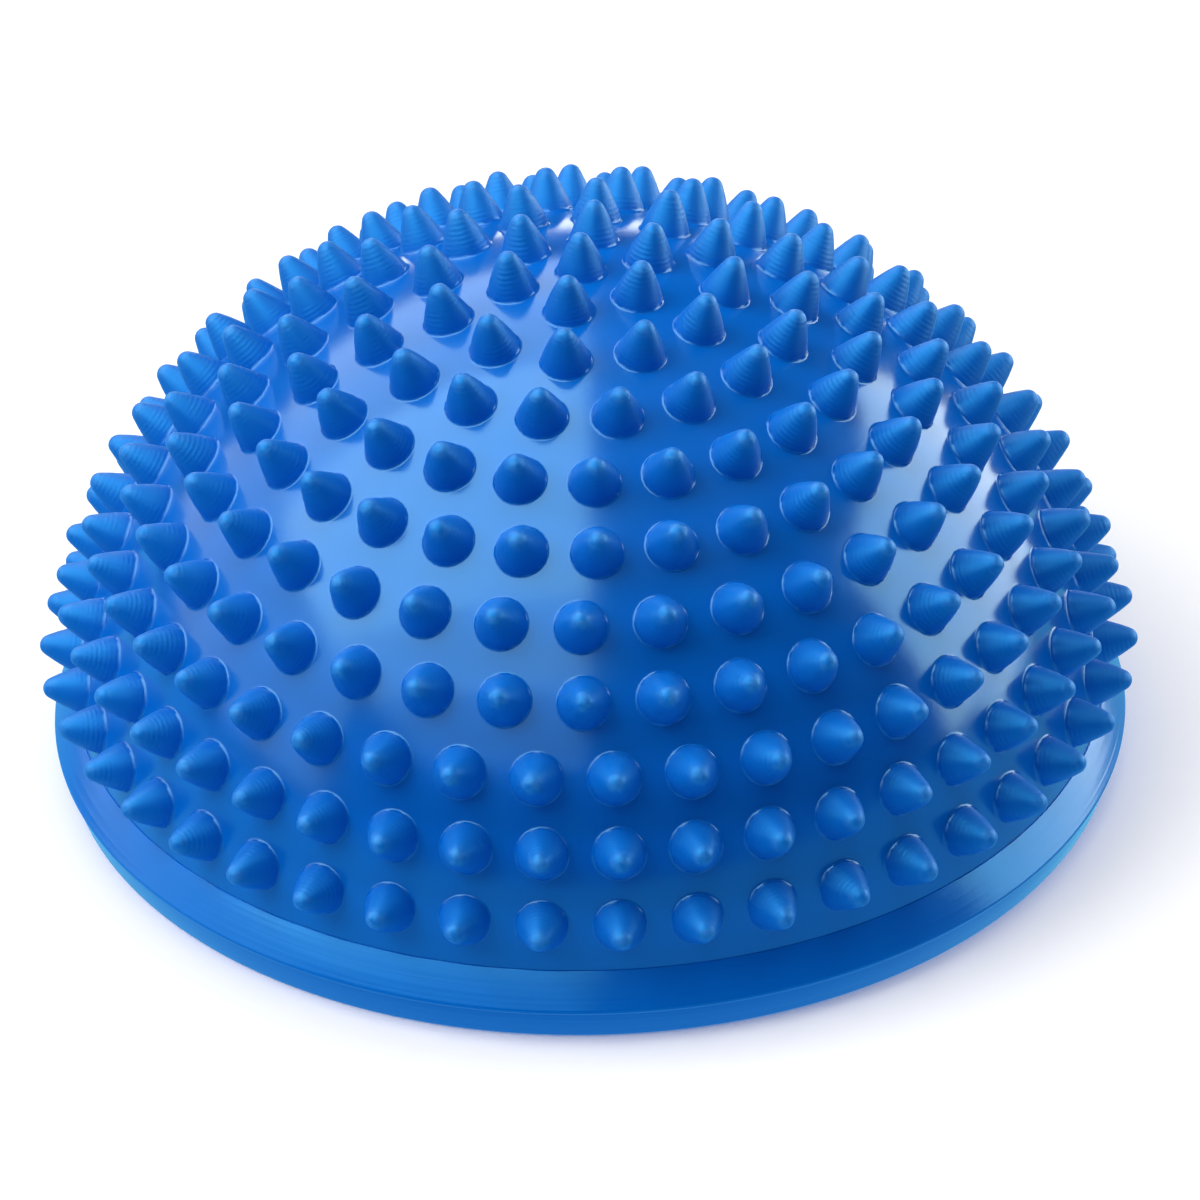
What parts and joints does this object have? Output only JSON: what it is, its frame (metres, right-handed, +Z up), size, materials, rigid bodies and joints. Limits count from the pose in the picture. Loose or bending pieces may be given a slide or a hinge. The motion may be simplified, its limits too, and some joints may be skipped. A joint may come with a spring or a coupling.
{
  "type": "balance dome trainer",
  "caption": "Air-filled half ball with blunt massage nubs on a flat flanged base, stood or stepped on to train balance, with an air valve and stopper underneath.",
  "frame": {"origin": "centre of the base's underside, on the plane it stands on", "axes": "+Z up along the dome's axis, +X to the right, -Y to the front"},
  "size_m": [0.1624, 0.1624, 0.0833],
  "materials": {
    "dome_pvc": "soft satin-gloss PVC",
    "base_pvc": "soft satin-gloss PVC with fine turned lines",
    "valve_rubber": "matt",
    "plug_plastic": "satin"
  },
  "bodies": {
    "body": {"dome_shell": "dome_pvc", "base_shell": "base_pvc", "valve_insert": "valve_rubber"},
    "plug": {"valve_plug": "plug_plastic"}
  },
  "joints": [
    {"name": "plug_pull", "type": "slide", "parent": "body", "child": "plug", "axis": [0, 0, -1], "range_m": [0, 0.013]}
  ]
}
